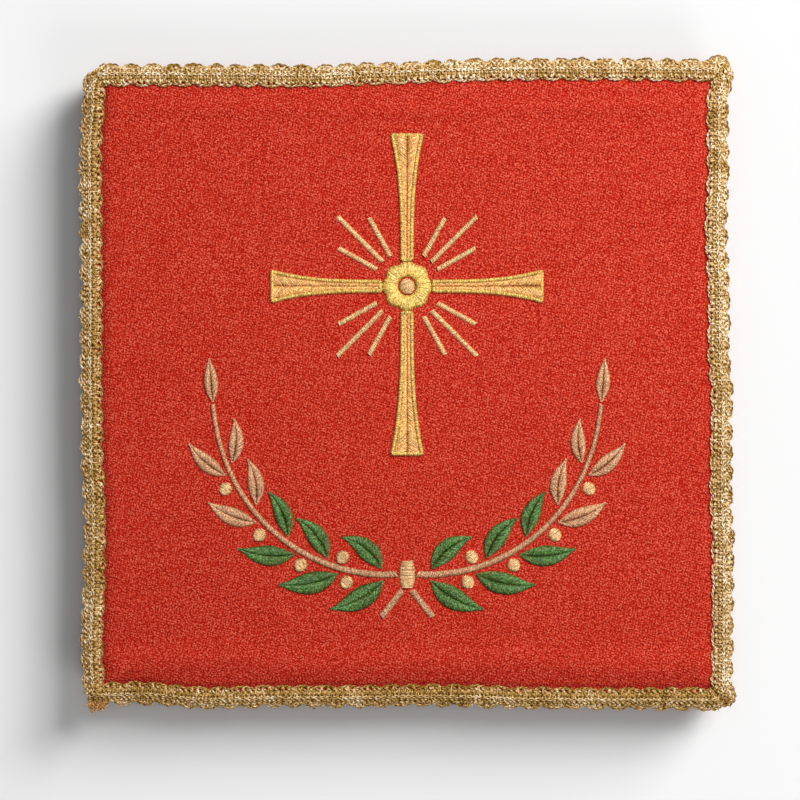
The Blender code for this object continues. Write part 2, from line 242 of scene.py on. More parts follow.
# How bright each run of the braid is painted: painted light on the right and top runs, painted shade on
# the bottom and left ones
BOTTOM_RUN_PAINTED_SHADE = 0.73
LEFT_RUN_PAINTED_SHADE = 0.88
UPPER_RUN_PAINTED_LIGHT = 1.05
CORNER_MIDDLES = [end - length / 2 for end, (length, turn) in zip(WALK_ENDS, WALK) if turn]
CORNER_LENGTH = BRAID_CORNER_RADIUS * math.pi / 2
RUN_PAINTED_SHADES = (
    (CORNER_MIDDLES[0] - CORNER_LENGTH / 2, BOTTOM_RUN_PAINTED_SHADE),
    (CORNER_MIDDLES[0] + CORNER_LENGTH / 2, UPPER_RUN_PAINTED_LIGHT),
    (CORNER_MIDDLES[2] - CORNER_LENGTH / 2, UPPER_RUN_PAINTED_LIGHT),
    (CORNER_MIDDLES[2] + CORNER_LENGTH / 2, LEFT_RUN_PAINTED_SHADE),
)
# How much longer each corner is round the outside than along the sewing line
OUTER_EXTRA = 5.6 * MM
OUTER_STEPS = 6000
# How the scallops differ from each other
SCALLOP_START = 0.1
SCALLOP_WANDER = 0.09
SCALLOP_SWELL = 0.16 * MM


def on_braid(distance, outward, height):
    """World points at a distance along the braid, a way out of its sewing line and above the cloth."""
    x = np.full(distance.shape, -(HALF_BOARD + BRAID_HALF_WIDTH))
    y = np.full(distance.shape, -HALF_BOARD)
    heading = np.zeros(distance.shape)
    fullness = np.zeros(distance.shape)
    left = distance.copy()
    corners = iter(CORNER_FULLNESS)
    for length, turn in WALK:
        step = np.clip(left, 0, length)
        if turn:
            radius = length / turn
            swung = heading + step / radius
            x += radius * (np.sin(swung) - np.sin(heading))
            y -= radius * (np.cos(swung) - np.cos(heading))
            fullness += next(corners) * np.sin(np.pi * step / length)
            heading = swung
        else:
            x += np.cos(heading) * step
            y += np.sin(heading) * step
        left = left - length
    lap = np.maximum(left, 0)
    y -= lap
    x, y = strayed(x, y)
    facing = heading - np.pi / 2
    out_share = np.maximum(0, outward / BRAID_HALF_WIDTH)
    reach = outward + fullness * out_share
    in_share = np.clip(-outward / BRAID_HALF_WIDTH, 0, 1)
    z = BOARD_THICKNESS + height - BRAID_DROOP * out_share**1.5 - CREASE_DEPTH * crease(distance)
    z += LAP_RISE * np.clip(lap / MM, 0, 1)
    z -= INNER_SINK * (1 - upper_right(distance)) * in_share**2
    return np.stack([x + reach * np.cos(facing), y + reach * np.sin(facing), z], axis=-1)


def smooth_step(share):
    return share * share * (3 - 2 * share)


def wander(distance, period, seed):
    """A smooth random number from -1 to 1 along the braid."""
    values = np.random.default_rng(seed).uniform(-1, 1, int(BRAID_END / period) + 4)
    place = distance / period + 1
    low = np.clip(np.floor(place).astype(int), 0, len(values) - 2)
    share = smooth_step(place - low)
    return values[low] * (1 - share) + values[low + 1] * share


def braid_reach(distance, inner_side):
    """How far the braid reaches from its sewing line, to its outer or inner scalloped edge."""
    phase = distance / BRAID_LENGTH * SCALLOPS + SCALLOP_START
    phase = phase + SCALLOP_WANDER * wander(distance, 7 * MM, 5)
    if inner_side:
        return BRAID_HALF_WIDTH - INNER_NOTCH * (1 - np.abs(np.sin(np.pi * phase)))
    swell = SCALLOP_SWELL * wander(distance, SCALLOP_PITCH, 8)
    return BRAID_HALF_WIDTH + swell - OUTER_NOTCH * (1 - np.abs(np.cos(np.pi * phase)) ** 0.8)


# Mesh making
def add_mesh(name, vertices, faces, material, tone):
    """A smooth-shaded piece on the part's one body, with a tone at each vertex: random shades, and on some
    pieces painted light and shade.
    """
    face_rows = [face for group in faces for face in group.tolist()]
    mesh = bpy.data.meshes.new(name)
    mesh.from_pydata(vertices.reshape(-1, 3).tolist(), [], face_rows)
    mesh.shade_smooth()
    layer = mesh.attributes.new("tone", "FLOAT", "POINT")
    layer.data.foreach_set("value", tone.astype(np.float32).ravel())
    mesh.materials.append(material)
    mesh.update()
    obj = bpy.data.objects.new(name, mesh)
    bpy.context.scene.collection.objects.link(obj)
    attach(obj, "root")
    return obj


def unit(vectors):
    return vectors / np.maximum(np.linalg.norm(vectors, axis=-1, keepdims=True), 1e-12)


def tubes(paths, thread):
    """Closed threads along paths of shape (threads, stations, 3): vertices and face groups."""
    threads, stations, _ = paths.shape
    sides = thread.sides
    tangent = unit(np.gradient(paths, axis=1))
    side = unit(np.cross(tangent, UP))
    lift = np.cross(side, tangent)
    angle = 2 * np.pi * (np.arange(sides) + 0.5) / sides
    ring = (
        paths[:, :, None, :]
        + side[:, :, None, :] * np.cos(angle)[:, None] * thread.half_wide
        + lift[:, :, None, :] * np.sin(angle)[:, None] * thread.half_high
    )
    index = np.arange(threads * stations * sides).reshape(threads, stations, sides)
    near = index[:, :-1]
    far = index[:, 1:]
    walls = np.stack([near, far, np.roll(far, -1, axis=2), np.roll(near, -1, axis=2)], axis=-1)
    return ring.reshape(-1, 3), [walls.reshape(-1, 4), index[:, 0], index[:, -1, ::-1]]


def join(*shapes):
    """Several (vertices, face groups) as one."""
    vertices = []
    faces = []
    start = 0
    for points, groups in shapes:
        vertices.append(points)
        faces.extend(group + start for group in groups)
        start += len(points)
    return np.concatenate(vertices), faces


# Materials
CRIMPS_PER_METRE = 3000
GRANULES_PER_METRE = 1660
STREAKS_PER_METRE = 900
GLINTS_PER_METRE = 1600
FIBRES_PER_METRE = 2900
NOISE_TILT = (0.6, 0.4, 0.3)
GRANULE_TILT = (0.4, 0.3, 0.3)
GRANULE_DEPTH = -0.5
STREAKS = ((0.08, 1, 1), (1, 0.08, 1))
STREAK_WEIGHT = 0.08
Bump = namedtuple("Bump", "strength, distance")
CREPE_BUMP = Bump(1.0, 0.18 * MM)
LUREX_BUMP = Bump(0.5, 0.15 * MM)
RAYON_BUMP = Bump(0.7, 0.08 * MM)
Stop = namedtuple("Stop", "place, colour")
# The reds follow the weave's height, darker low between the grains and pale pink on their tops: partly the
# cloth's own mottle, partly painted shade and painted glints
CREPE_REDS = (
    Stop(0.09, (0.27, 0.003, 0.001)),
    Stop(0.395, (0.48, 0.018, 0.005)),
    Stop(0.70, (0.73, 0.13, 0.08)),
)
# The metal thread is brown where it is dark and pale where it is bright: its colour follows its painted
# brightness, so painted shade turns brown and painted highlights pale
Gold = namedtuple("Gold", "brightness, colour")
GOLDS = (
    Gold(0.0, (0.02, 0.008, 0.0)),
    Gold(0.3, (0.26, 0.132, 0.015)),
    Gold(0.62, (0.48, 0.278, 0.074)),
    Gold(1.0, (0.67, 0.44, 0.20)),
    Gold(1.5, (0.86, 0.655, 0.39)),
    Gold(2.2, (0.96, 0.90, 0.72)),
)
BRIGHTEST_GOLD = 2.5
GLINT_GAIN = 3.6
# Darker fibres, and the painted white sheen added to the lighter ones
FIBRE_DARKS = (0.52, 0.44, 0.34)
FIBRE_SHEEN = 0.06


def new_material(name):
    material = bpy.data.materials.new(name)
    material.use_nodes = True
    tree = material.node_tree
    shader = tree.nodes["Principled BSDF"]
    return material, tree, shader


def add_node(tree, kind, **values):
    node = tree.nodes.new(kind)
    for key, value in values.items():
        if key in node.inputs:
            node.inputs[key].default_value = value
        else:
            setattr(node, key, value)
    return node


def add_noise(tree, scale, detail, distortion=0.0, stretch=(1, 1, 1)):
    place = add_node(tree, "ShaderNodeTexCoord")
    tilted = add_node(tree, "ShaderNodeMapping", Rotation=NOISE_TILT, Scale=stretch)
    noise = add_node(tree, "ShaderNodeTexNoise", Scale=scale, Detail=detail, Distortion=distortion)
    tree.links.new(place.outputs["Object"], tilted.inputs["Vector"])
    tree.links.new(tilted.outputs["Vector"], noise.inputs["Vector"])
    return noise


def add_ramp(tree, source, stops):
    ramp = add_node(tree, "ShaderNodeValToRGB")
    elements = ramp.color_ramp.elements
    while len(elements) < len(stops):
        elements.new(0.5)
    for element, (place, colour) in zip(elements, stops):
        element.position = place
        element.color = (*colour, 1)
    tree.links.new(source, ramp.inputs["Fac"])
    return ramp


def add_bump(tree, shader, height, bump):
    bumps = add_node(tree, "ShaderNodeBump", Strength=bump.strength, Distance=bump.distance)
    tree.links.new(height, bumps.inputs["Height"])
    tree.links.new(bumps.outputs["Normal"], shader.inputs["Normal"])


def add_granules(tree, scale):
    """Rounded grains, with the distance from each one's middle as the output."""
    place = add_node(tree, "ShaderNodeTexCoord")
    tilted = add_node(tree, "ShaderNodeMapping", Rotation=GRANULE_TILT)
    grains = add_node(tree, "ShaderNodeTexVoronoi", voronoi_dimensions="2D", Scale=scale)
    grains.inputs["Randomness"].default_value = 0.5
    tree.links.new(place.outputs["Object"], tilted.inputs["Vector"])
    tree.links.new(tilted.outputs["Vector"], grains.inputs["Vector"])
    return grains


def add_scaled(tree, value, weight, rest):
    """The first value times its weight, plus the rest."""
    total = add_node(tree, "ShaderNodeMath", operation="MULTIPLY_ADD")
    tree.links.new(value, total.inputs[0])
    total.inputs[1].default_value = weight
    tree.links.new(rest, total.inputs[2])
    return total.outputs["Value"]


def crepe_material():
    """Red crepe: small rounded grains, roughened and faintly streaked along both threads; its colour is
    darker between the grains and paler on them, partly painted shade and painted glints.
    """
    material, tree, shader = new_material("red_crepe_weave")
    crimps = add_noise(tree, CRIMPS_PER_METRE, detail=0.0)
    grains = add_granules(tree, GRANULES_PER_METRE)
    weave = add_scaled(tree, grains.outputs["Distance"], GRANULE_DEPTH, crimps.outputs["Fac"])
    streaked = weave
    for stretch in STREAKS:
        streak = add_noise(tree, STREAKS_PER_METRE, detail=1.0, stretch=stretch)
        streaked = add_scaled(tree, streak.outputs["Fac"], STREAK_WEIGHT, streaked)
    ramp = add_ramp(tree, streaked, CREPE_REDS)
    shaded_colour(tree, shader, ramp)
    add_bump(tree, shader, weave, CREPE_BUMP)
    shader.inputs["Roughness"].default_value = 0.9
    shader.inputs["Specular IOR Level"].default_value = 0.12
    return material


def shaded_colour(tree, shader, ramp):
    """The ramp's colour, scaled by the tone that the mesh carries: random shades on the threads, and
    painted shade beside the braid on the cover.
    """
    tone = add_node(tree, "ShaderNodeAttribute", attribute_name="tone")
    scaled = add_node(tree, "ShaderNodeVectorMath", operation="SCALE")
    tree.links.new(ramp.outputs["Color"], scaled.inputs[0])
    tree.links.new(tone.outputs["Fac"], scaled.inputs["Scale"])
    tree.links.new(scaled.outputs["Vector"], shader.inputs["Base Color"])


def lurex_material(name, gain, metallic, roughness):
    """Metal thread whose random tone, painted shade and painted glints pick its colour from one scale of
    golds.
    """
    material, tree, shader = new_material(name)
    glints = add_noise(tree, GLINTS_PER_METRE, detail=1.0, distortion=0.3)
    tone = add_node(tree, "ShaderNodeAttribute", attribute_name="tone")
    share = gain / BRIGHTEST_GOLD
    glint = add_node(tree, "ShaderNodeMath", operation="MULTIPLY_ADD")
    tree.links.new(glints.outputs["Fac"], glint.inputs[0])
    glint.inputs[1].default_value = GLINT_GAIN * share
    glint.inputs[2].default_value = (1 - GLINT_GAIN / 2) * share
    brightness = add_node(tree, "ShaderNodeMath", operation="MULTIPLY")
    tree.links.new(glint.outputs["Value"], brightness.inputs[0])
    tree.links.new(tone.outputs["Fac"], brightness.inputs[1])
    stops = [(gold.brightness / BRIGHTEST_GOLD, gold.colour) for gold in GOLDS]
    ramp = add_ramp(tree, brightness.outputs["Value"], stops)
    tree.links.new(ramp.outputs["Color"], shader.inputs["Base Color"])
    add_bump(tree, shader, glints.outputs["Fac"], LUREX_BUMP)
    shader.inputs["Metallic"].default_value = metallic
    shader.inputs["Roughness"].default_value = roughness
    shader.inputs["Specular IOR Level"].default_value = 0.16
    return material


def rayon_material(name, colour, light_gain=1.5):
    """Glossy embroidery thread, with darker and lighter fibres of its own colour; the lighter ones also
    carry a painted white sheen.
    """
    material, tree, shader = new_material(name)
    fibres = add_noise(tree, FIBRES_PER_METRE, detail=2.0, distortion=0.3)
    dark = tuple(share * part for share, part in zip(FIBRE_DARKS, colour))
    light = tuple(min(1.0, light_gain * part + FIBRE_SHEEN) for part in colour)
    ramp = add_ramp(tree, fibres.outputs["Fac"], (Stop(0.36, dark), Stop(0.5, colour), Stop(0.64, light)))
    shaded_colour(tree, shader, ramp)
    add_bump(tree, shader, fibres.outputs["Fac"], RAYON_BUMP)
    shader.inputs["Roughness"].default_value = 0.45
    shader.inputs["Specular IOR Level"].default_value = 0.5
    return material


# The embroidery's lines, shared by the stitches and by the cloth that they pucker
def direction(degrees):
    return np.array([math.cos(math.radians(degrees)), math.sin(math.radians(degrees))])


def branch_point(share, side):
    """A point a share of the way along the right or left branch, and the branch's heading there."""
    share = np.asarray(share, float)[..., None]
    foot, low, high, tip = BRANCH
    rest = 1 - share
    point = foot * rest**3 + low * 3 * rest**2 * share + high * 3 * rest * share**2 + tip * share**3
    slope = (low - foot) * rest**2 + (high - low) * 2 * rest * share + (tip - high) * share**2
    mirror = np.array([side, 1])
    return point * mirror, unit(slope * mirror)


def turned(vector, angle):
    cos = np.cos(angle)
    sin = np.sin(angle)
    return np.stack([vector[0] * cos - vector[1] * sin, vector[0] * sin + vector[1] * cos], axis=-1)


def leaf_line(leaf, side, share):
    """Points down the middle of a leaf and its half-width there."""
    foot, heading = branch_point(leaf.along, side)
    slant = math.radians(leaf.lean) * side
    across = np.array([-heading[1], heading[0]]) * side
    clear = STEM_HALF_WIDTH + GAP
    start = foot + across * math.copysign(clear, leaf.lean) if leaf.lean else foot + heading * GAP
    bend = slant * (1.25 - 0.5 * share)
    points = start + turned(heading, bend) * (leaf.length * (0.04 + 0.96 * share))[:, None]
    half_widths = leaf.half_width * np.maximum(0.1, np.sin(np.pi * share**0.85))
    return points, half_widths


def arm_line(arm, share):
    start = ROSETTE_RADIUS + GAP
    points = CROSS_CENTRE + direction(arm.turn) * (start + (arm.reach - start) * share)[:, None]
    return points, ARM_WAIST + ARM_FLARE * share**3


def band_normals(points):
    tangent = unit(np.gradient(points, axis=0))
    return np.stack([-tangent[:, 1], tangent[:, 0]], axis=-1)


# Stitches
def stitches(starts, ends, arch):
    """Satin stitches from starts to ends, each a thread that arches up out of the cloth and back in."""
    share = np.linspace(0, 1, STITCH_STATIONS)
    flat = starts[:, None, :] * (1 - share)[None, :, None] + ends[:, None, :] * share[None, :, None]
    rise = np.sin(np.pi * share)[None, :] ** STITCH_FULLNESS * arch[:, None]
    z = BOARD_THICKNESS - STITCH_SINK + rise
    return tubes(np.concatenate([flat, z[..., None]], axis=-1), SATIN_THREAD)


def stitch_shades(count):
    """A random shade for each stitch, with flecks along it."""
    each = rng.uniform(-STITCH_SPREAD, STITCH_SPREAD, (count, 1))
    flecks = rng.uniform(-STITCH_SPREAD, STITCH_SPREAD, (count, STITCH_STATIONS))
    return np.repeat((1 + each + flecks).ravel(), SATIN_THREAD.sides)


class Stitching:
    """Gathers the stitches of one thread colour into one piece."""

    def __init__(self):
        self.shapes = []
        self.tones = []

    def add(self, starts, ends, arch):
        starts = starts + rng.normal(0, STITCH_JITTER, starts.shape)
        ends = ends + rng.normal(0, STITCH_JITTER, ends.shape)
        arch = arch * rng.uniform(0.9, 1.1, len(starts))
        self.shapes.append(stitches(starts, ends, arch))
        self.tones.append(stitch_shades(len(starts)))

    def finish(self, name, material, nodes):
        vertices, faces = join(*self.shapes)
        obj = add_mesh(name, vertices, faces, material, np.concatenate(self.tones))
        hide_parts(*nodes)
        return obj


def resample(points, values, pitch):
    """Evenly spaced places along a line: their points and values."""
    lengths = np.concatenate([[0], np.cumsum(np.linalg.norm(np.diff(points, axis=0), axis=1))])
    count = max(3, int(round(lengths[-1] / pitch)) + 1)
    place = np.linspace(0, lengths[-1], count)
    spots = np.stack([np.interp(place, lengths, column) for column in points.T], axis=-1)
    return spots, np.interp(place, lengths, values)


def satin_band(stitching, points, half_widths, arch, slant=0.0):
    """Stitches straight across a band, or slanted by a share of its width."""
    spots, widths = resample(points, half_widths, STITCH_PITCH)
    normals = band_normals(spots)
    tangents = np.stack([normals[:, 1], -normals[:, 0]], axis=-1)
    lean = tangents * (widths * slant)[:, None]
    stitching.add(
        spots - normals * widths[:, None] - lean,
        spots + normals * widths[:, None] + lean,
        arch,
    )


def herringbone(stitching, points, half_widths, arch, slant):
    """Two columns of slanted stitches that meet along the middle line and fan into both ends."""
    spots, widths = resample(points, half_widths, STITCH_PITCH)
    normals = band_normals(spots)
    length = STITCH_PITCH * (len(spots) - 1)
    ticks = np.linspace(0, length, len(spots))

    def at(place, values):
        return np.stack([np.interp(place, ticks, column) for column in values.T], axis=-1)

    begin = np.arange(-widths[0] * slant, length + STITCH_PITCH / 2, STITCH_PITCH)
    inner_place = np.clip(begin, 0, length)
    outer_place = np.clip(begin + slant * np.interp(inner_place, ticks, widths), 0, length)
    outer_width = np.interp(outer_place, ticks, widths)
    for hand in (-1, 1):
        inner = at(inner_place, spots) + at(inner_place, normals) * hand * 0.05 * MM
        outer = at(outer_place, spots) + at(outer_place, normals) * hand * outer_width[:, None]
        stitching.add(inner, outer, arch * np.clip(outer_width / widths.max(), 0.45, 1))


def outline_points(points, half_widths, inset):
    """The closed line a little inside a band's edge."""
    normals = band_normals(points)
    reach = (half_widths - inset)[:, None]
    left = points + normals * reach
    right = points - normals * reach
    return np.concatenate([left, right[::-1], left[:1]])


def add_spot(stitching, centre, radius, arch, turn):
    """A round padded spot of parallel stitches."""
    along = direction(turn)
    across = direction(turn + 90)
    rows = np.arange(-radius + 0.12 * MM, radius, STITCH_PITCH * 0.9)
    half = np.sqrt(radius**2 - rows**2)[:, None]
    middle = centre + across * rows[:, None]
    stitching.add(middle - along * half, middle + along * half, arch * np.sqrt(half[:, 0] / radius))


def build_embroidery():
    gold = Stitching()
    bright = Stitching()
    pale = Stitching()
    beige = Stitching()
    green = Stitching()
    share = np.linspace(0, 1, 60)

    for arm in ARMS:
        points, half_widths = arm_line(arm, share)
        inner = np.maximum(half_widths - ARM_INSET, ARM_LEAST_HALF_WIDTH)
        herringbone(gold, points, inner, ARM_ARCH, 0.9)
        line = outline_points(points, half_widths, EDGE_HALF_WIDTH)
        spots, widths = resample(line, np.full(len(line), EDGE_HALF_WIDTH), EDGE_PITCH)
        reach = band_normals(spots) * widths[:, None]
        bright.add(spots - reach, spots + reach, EDGE_ARCH)

    for quarter in range(4):
        for ray in RAYS:
            along = direction(quarter * 90 + ray.turn)
            points = CROSS_CENTRE + along * np.linspace(RAY_START, ray.reach, 12)[:, None]
            satin_band(pale, points, np.full(12, RAY_HALF_WIDTH), RAY_ARCH, slant=0.25)

    angle = np.linspace(0, 2 * np.pi, ROSETTE_STITCHES, endpoint=False)
    around = np.stack([np.cos(angle), np.sin(angle)], axis=-1)
    lobed = ROSETTE_RADIUS - ROSETTE_LOBE_DEPTH * (1 - np.abs(np.cos(ROSETTE_LOBES * angle / 2)))
    starts = CROSS_CENTRE + around * ROSETTE_HOLE_RADIUS
    ends = CROSS_CENTRE + around * lobed[:, None]
    bright.add(starts, ends, EDGE_ARCH)
    add_spot(pale, CROSS_CENTRE, ROSETTE_EYE_RADIUS, EYE_ARCH, 20)

    for side in (1, -1):
        points, _ = branch_point(share, side)
        taper = STEM_TIP_HALF_WIDTH - STEM_HALF_WIDTH
        satin_band(beige, points, STEM_HALF_WIDTH + taper * share, STEM_ARCH, slant=0.5 * side)
        end_top = BRANCH[0][1] - TIE_HALF_HEIGHT - STEM_HALF_WIDTH
        end_start = np.array([TIE_HALF_WIDTH * 0.6 * side, end_top])
        along = direction(STEM_END_TURN) * np.array([side, 1])
        points = end_start + along * np.linspace(0, STEM_END_LENGTH, 12)[:, None]
        satin_band(beige, points, np.full(12, STEM_HALF_WIDTH), STEM_ARCH, slant=0.3)
        for leaf in LEAVES:
            points, half_widths = leaf_line(leaf, side, share)
            herringbone(green if leaf.green else beige, points, half_widths, LEAF_ARCH, 0.85)
        for berry in BERRIES:
            foot, heading = branch_point(berry.along, side)
            centre = foot + np.array([-heading[1], heading[0]]) * side * berry.away
            add_spot(pale, centre, BERRY_RADIUS, BERRY_ARCH, 35 * side)

    steps = np.linspace(-TIE_HALF_HEIGHT, TIE_HALF_HEIGHT, 12)
    points = np.stack([np.zeros(12), BRANCH[0][1] + steps], axis=-1)
    widths = TIE_HALF_WIDTH * (0.7 + 0.3 * np.cos(steps / TIE_HALF_HEIGHT * np.pi / 2))
    satin_band(pale, points, widths, TIE_ARCH)

    names = sorted(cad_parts)
    arms = [n for n in names if n.startswith("cross_arm")]
    edges = ["cross_rosette", *arms]
    pale_nodes = ["rosette_eye", "wreath_tie"]
    pale_nodes += [n for n in names if n.startswith(("cross_ray", "berry"))]
    stems = [n for n in names if n.startswith("stem")]
    leaves = {True: [], False: []}
    for number, leaf in enumerate(LEAVES, 1):
        leaves[leaf.green] += [f"leaf_{word}_{number}" for word in ("left", "right")]
    gold_thread = rayon_material("gold_rayon", (0.93, 0.44, 0.13))
    bright_thread = rayon_material("bright_gold_rayon", (0.90, 0.56, 0.13))
    pale_thread = rayon_material("pale_gold_rayon", (1.0, 0.56, 0.25))
    beige_thread = rayon_material("beige_rayon", (0.64, 0.34, 0.17))
    green_thread = rayon_material("green_rayon", (0.06, 0.15, 0.024), 2.4)
    return [
        gold.finish("cross_arm_stitches", gold_thread, arms),
        bright.finish("cross_edge_stitches", bright_thread, edges),
        pale.finish("ray_berry_stitches", pale_thread, pale_nodes),
        beige.finish("beige_leaf_stitches", beige_thread, stems + leaves[False]),
        green.finish("green_leaf_stitches", green_thread, leaves[True]),
    ]


# The braid
def crease(distance):
    """One in the middle of each mitred corner, falling to nothing on both sides of it."""
    return sum(np.exp(-(((distance - middle) / CREASE_WIDTH) ** 2)) for middle in CORNER_MIDDLES)


def upper_right(distance):
    """One along the right and top runs, falling to nothing on the bottom and left ones."""
    first = (distance - CORNER_MIDDLES[0]) / SCALLOP_PITCH + 0.5
    last = (CORNER_MIDDLES[2] - distance) / SCALLOP_PITCH + 0.5
    return np.clip(first, 0, 1) * np.clip(last, 0, 1)


def shades(distance, seed, slow=0.18, fine=0.15):
    """How bright a thread is along its way: random slow changes, patches and flecks, painted shade in the
    corners' folds, and painted light and shade by run.
    """
    flecks = np.random.default_rng(seed).uniform(-1, 1, distance.shape)
    # Painted shade in the corners' folds; painted light on the right and top runs and painted shade on the
    # bottom and left ones
    painted_fold_shade = 1 - 0.6 * crease(distance)
    painted_run_shade = np.interp(distance, *zip(*RUN_PAINTED_SHADES))
    patch = 1 + 0.25 * wander(distance, 2.6 * MM, 30)
    return (1 + slow * wander(distance, 1.0 * MM, seed) + fine * flecks) * painted_fold_shade * painted_run_shade * patch


# Zones across the braid where its edges' light and shade are painted
Zone = namedtuple("Zone", "start, width")
OUTER_LOOPS = Zone(1.5 * MM, 0.9 * MM)
SCALLOP_TIPS = Zone(2.2 * MM, 0.35 * MM)
INNER_EDGE = Zone(1.2 * MM, 0.9 * MM)
PIT_LENGTH = 1.9 * MM


def share_in(zone, reach):
    return np.clip((reach - zone.start) / zone.width, 0, 1)


def painted_edge_shade(distance, outward):
    """Painted light and shade of the outer loops, of the scallops' tips and of the pits inside the
    corners.

    The outer loops are painted brighter on the left and bottom runs, the tips are painted dark on the
    other two, and the pits are painted dark.
    """
    upper = upper_right(distance)
    loops = share_in(OUTER_LOOPS, outward) * (0.34 - 0.38 * upper)
    tips = share_in(SCALLOP_TIPS, outward) * 0.6 * upper
    painted_pit_shade = sum(np.exp(-(((distance - middle) / PIT_LENGTH) ** 2)) for middle in CORNER_MIDDLES)
    return (1 + loops - tips) * (1 - 0.75 * share_in(INNER_EDGE, -outward) * painted_pit_shade)


def row_dip(outward):
    """How deep the weft sinks between the braid's lengthwise rows, from 0 to 1."""
    return sum(row.depth * np.exp(-(((outward - row.outward) / DARK_ROW_WIDTH) ** 2)) for row in DARK_ROWS)


def braid_piece(name, material, thread, threads):
    """One piece from rows of (paths, shades)."""
    vertices, faces = join(*(tubes(paths, thread) for paths, _ in threads))
    tone = np.concatenate([np.repeat(shade.ravel(), thread.sides) for _, shade in threads])
    obj = add_mesh(name, vertices, faces, material, tone)
    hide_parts("gold_braid")
    return obj


def build_ground(material):
    """The woven ribbon that shows between the threads, its gold darker than theirs as painted shade
    between them.
    """
    along = np.linspace(BRAID_START, BRAID_END, SCALLOPS * 10 + 1)
    across = np.array(GROUND_ACROSS)[:, None]
    outward = across * np.where(across > 0, braid_reach(along, False), BRAID_HALF_WIDTH)
    distance = np.broadcast_to(along, outward.shape).copy()
    top = (0.71 - 0.26 * across**2) * MM + np.zeros_like(outward)
    underside = on_braid(distance, outward, top - GROUND_THICKNESS)[::-1]
    ring = np.concatenate([on_braid(distance, outward, top), underside]).transpose(1, 0, 2)
    sides = ring.shape[1]
    index = np.arange(ring.shape[0] * sides).reshape(-1, sides)
    near = index[:-1]
    far = index[1:]
    walls = np.stack([near, np.roll(near, -1, 1), np.roll(far, -1, 1), far], axis=-1)
    faces = [walls.reshape(-1, 4), index[:1, ::-1], index[-1:]]
    ground = add_mesh("braid_ground", ring, faces, material, np.ones(ring.shape[0] * sides))
    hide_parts("gold_braid")
    return ground


def weft_threads():
    """The thread that crosses the braid from edge to edge and back."""
    passes = int((BRAID_END - BRAID_START) / WEFT_PITCH)
    turns = np.linspace(0, passes, passes * 12 + 1)
    distance = BRAID_START + turns / passes * (BRAID_END - BRAID_START)
    swing = -np.cos(np.pi * turns)
    short = np.round(turns / 2).astype(int) % 2 * SHORT_LOOP
    inner_reach = braid_reach(distance, True) - short
    reach = np.where(swing > 0, braid_reach(distance, False), inner_reach) - WEFT_INSET
    outward = swing * reach
    dip = row_dip(outward)
    height = (0.80 - 0.28 * swing**2 - 0.16 * dip) * MM
    height = height + 0.08 * MM * wander(distance, 0.9 * MM, 21)
    pass_shades = np.random.default_rng(22).uniform(0.75, 1.2, passes + 1)
    shade = pass_shades[np.round(turns).astype(int)] * shades(distance, 23)
    # Painted shade where the weft sinks between rows, and the edges' painted light and shade
    shade = shade * (1 - 0.3 * dip) * painted_edge_shade(distance, outward)
    sideways = 0.12 * MM * wander(distance, 0.8 * MM, 24)
    return [(on_braid(distance + sideways, outward, height)[None], shade)]


def inner_cord():
    """Two plies twisted into the beaded edge that lies on the cloth."""
    distance = np.linspace(BRAID_START, BRAID_END, int(BRAID_LENGTH / CORD_TWIST * 14))
    line = 0.32 * MM - braid_reach(distance, True) + 0.12 * MM * wander(distance, 1.1 * MM, 43)
    turn = 2 * np.pi * distance / CORD_TWIST + 0.8 * wander(distance, 2.5 * MM, 40)
    threads = []
    for ply in (0, 1):
        angle = turn + ply * np.pi
        height = (0.36 + 0.15 * np.sin(angle)) * MM
        path = on_braid(distance, line + CORD_RADIUS * np.cos(angle), height)[None]
        # Painted light and shade: each ply lighter where it rides on top and darker underneath, and the
        # cord darker on the bottom and left runs
        shade = (1 + 0.25 * np.sin(angle)) * shades(distance, 41 + ply)
        shade = shade * (0.62 + 0.4 * upper_right(distance)) * painted_edge_shade(distance, line)
        threads.append((path, shade))
    return threads


def outer_places(pitch):
    """Even places round the outer edge: distances along the braid, along the edge, and their ratio."""
    along = np.linspace(BRAID_START, BRAID_END, OUTER_STEPS)
    corners = sum(np.clip((along - middle) / CORNER_LENGTH + 0.5, 0, 1) for middle in CORNER_MIDDLES)
    edge = along + OUTER_EXTRA * corners
    around = np.arange(edge[0], edge[-1], pitch)
    distance = np.interp(around, edge, along)
    return distance, around, np.gradient(distance) / pitch


def picot_loops():
    """Two strands of small loops that make the fluffy scalloped outer edge."""
    threads = []
    distance, around, shrink = outer_places(PICOT_PITCH / 12)
    for number, strand in enumerate(PICOT_STRANDS):
        angle = 2 * np.pi * around / PICOT_PITCH + np.pi * number
        angle = angle + 1.3 * wander(distance, 1.3 * MM, 71 + number)
        size = 1 + 0.7 * wander(distance, 0.8 * PICOT_PITCH, 72 + number)
        outward = braid_reach(distance, False) - strand.sink + PICOT_REACH * size * np.cos(angle)
        sway = PICOT_SWAY * size * np.sin(angle) * shrink
        height = strand.lift + 0.1 * MM * np.sin(angle + 1.0)
        height = height + 0.12 * MM * wander(distance, 1.1 * MM, 77 + number)
        # Painted shade: each loop darker at its outer tip
        shade = shades(distance, 73 + number) * (0.95 - 0.15 * np.cos(angle))
        shade = shade * painted_edge_shade(distance, outward)
        threads.append((on_braid(distance + sway, outward, height)[None], shade))
    return threads


